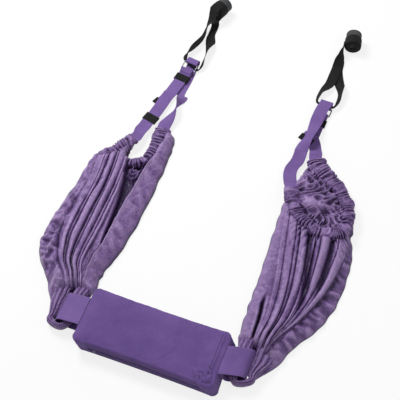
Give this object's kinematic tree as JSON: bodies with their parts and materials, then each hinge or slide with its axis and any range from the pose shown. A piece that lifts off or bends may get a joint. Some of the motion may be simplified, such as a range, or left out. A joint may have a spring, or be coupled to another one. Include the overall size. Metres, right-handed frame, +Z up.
{
  "type": "door yoga and stretching swing",
  "caption": "Yoga and stretching swing that hangs on a closed door: zipped foam cushion, gathered cloth slings, ring-adjusted straps and black loops with foam barrel door stoppers.",
  "frame": {"origin": "centre of the cushion's flat underside, on the floor the swing is laid out on", "axes": "+Z up, +Y from the cushion to the door stoppers, +X along the cushion"},
  "size_m": [0.8243, 1.2814, 0.0548],
  "materials": {
    "cover_cloth": "matt purple cloth",
    "foam": "cream foam",
    "zip_tape": "purple zip",
    "zip_metal": "satin metal",
    "sling_cloth": "light purple taffeta with a slight sheen",
    "purple_webbing": "purple woven webbing",
    "black_webbing": "black woven webbing",
    "ring_metal": "plated steel wire",
    "barrel_foam": "dark grey closed-cell foam",
    "barrel_core": "black plastic tube stopper"
  },
  "bodies": {
    "cushion": {"cushion_cover": "cover_cloth", "foam_core": "foam", "zip_chain": "zip_tape"},
    "slider": {"zip_slider": "zip_metal"},
    "pull": {"zip_pull": "zip_metal"},
    "left_end": {"left_band": "purple_webbing", "left_sling_bight": "sling_cloth"},
    "left_sling": {"left_sling_cloth": "sling_cloth", "left_hem_tunnel": "sling_cloth", "left_hem_webbing": "purple_webbing"},
    "left_strap": {"left_strap_tail_leg": "purple_webbing", "left_strap_bight_leg": "purple_webbing", "left_tail_end": "black_webbing", "left_label_patch": "black_webbing"},
    "left_ring_body": {"left_ring": "ring_metal"},
    "left_keeper_body": {"left_keeper": "black_webbing"},
    "left_anchor": {"left_anchor_webbing": "black_webbing"},
    "left_barrel": {"left_barrel_foam": "barrel_foam", "left_barrel_core": "barrel_core"},
    "right_end": {"right_band": "purple_webbing", "right_sling_bight": "sling_cloth"},
    "right_sling": {"right_sling_cloth": "sling_cloth", "right_hem_tunnel": "sling_cloth", "right_hem_webbing": "purple_webbing"},
    "right_strap": {"right_strap_tail_leg": "purple_webbing", "right_strap_bight_leg": "purple_webbing", "right_tail_end": "black_webbing"},
    "right_ring_body": {"right_ring": "ring_metal"},
    "right_keeper_body": {"right_keeper": "black_webbing"},
    "right_anchor": {"right_anchor_webbing": "black_webbing"},
    "right_barrel": {"right_barrel_foam": "barrel_foam", "right_barrel_core": "barrel_core"}
  },
  "joints": [
    {"name": "zip_slide", "type": "slide", "parent": "cushion", "child": "slider", "axis": [1, 0, 0], "range_m": [0, 0.262]},
    {"name": "pull_swing", "type": "hinge", "parent": "slider", "child": "pull", "pos_m": [-0.1265, -0.07935, 0.0278], "axis": [-1, 0, 0], "range_deg": [0, 90]},
    {"name": "left_band_fold", "type": "hinge", "parent": "cushion", "child": "left_end", "pos_m": [-0.191, 0.005, 0.0475], "axis": [0, -1, 0], "range_deg": [-90, 0]},
    {"name": "left_sling_swing", "type": "hinge", "parent": "left_end", "child": "left_sling", "pos_m": [-0.232, 0.005, 0], "axis": [0, 0, -1], "range_deg": [-90, 0]},
    {"name": "left_strap_fold", "type": "hinge", "parent": "left_sling", "child": "left_strap", "pos_m": [-0.26, 0.65, 0.013], "axis": [1, 0, 0], "range_deg": [0, 90]},
    {"name": "left_ring_tip", "type": "hinge", "parent": "left_strap", "child": "left_ring_body", "pos_m": [-0.241, 0.913, 0.0156], "axis": [-0.9877, 0.1564, 0], "range_deg": [0, 8]},
    {"name": "left_keeper_slide", "type": "slide", "parent": "left_strap", "child": "left_keeper_body", "axis": [0.1564, 0.9877, 0], "range_m": [-0.045, 0]},
    {"name": "left_anchor_fold", "type": "hinge", "parent": "left_strap", "child": "left_anchor", "pos_m": [-0.23835, 0.91056, 0.0069], "axis": [0.8941, -0.4478, 0], "range_deg": [0, 90]},
    {"name": "left_barrel_spin", "type": "hinge", "parent": "left_anchor", "child": "left_barrel", "pos_m": [-0.23085, 1.15806, 0.0266], "axis": [0.342, 0.9397, 0], "continuous": true},
    {"name": "right_band_fold", "type": "hinge", "parent": "cushion", "child": "right_end", "pos_m": [0.191, 0.005, 0.0475], "axis": [0, 1, 0], "range_deg": [-90, 0]},
    {"name": "right_sling_swing", "type": "hinge", "parent": "right_end", "child": "right_sling", "pos_m": [0.232, 0.01753, 0], "axis": [0, 0, 1], "range_deg": [-90, 0]},
    {"name": "right_strap_fold", "type": "hinge", "parent": "right_sling", "child": "right_strap", "pos_m": [0.196, 0.71154, 0.0158], "axis": [1, 0, 0], "range_deg": [0, 90]},
    {"name": "right_ring_tip", "type": "hinge", "parent": "right_strap", "child": "right_ring_body", "pos_m": [0.197, 0.89753, 0.0042], "axis": [-0.9994, 0.0349, 0], "range_deg": [0, 8]},
    {"name": "right_keeper_slide", "type": "slide", "parent": "right_strap", "child": "right_keeper_body", "axis": [0.0349, 0.9994, 0], "range_m": [-0.03, 0]},
    {"name": "right_anchor_fold", "type": "hinge", "parent": "right_strap", "child": "right_anchor", "pos_m": [0.19714, 0.90153, 0.0129], "axis": [0.9986, -0.0523, 0], "range_deg": [0, 90]},
    {"name": "right_barrel_spin", "type": "hinge", "parent": "right_anchor", "child": "right_barrel", "pos_m": [0.20714, 1.17153, 0.0266], "axis": [-0.1736, 0.9848, 0], "continuous": true}
  ]
}
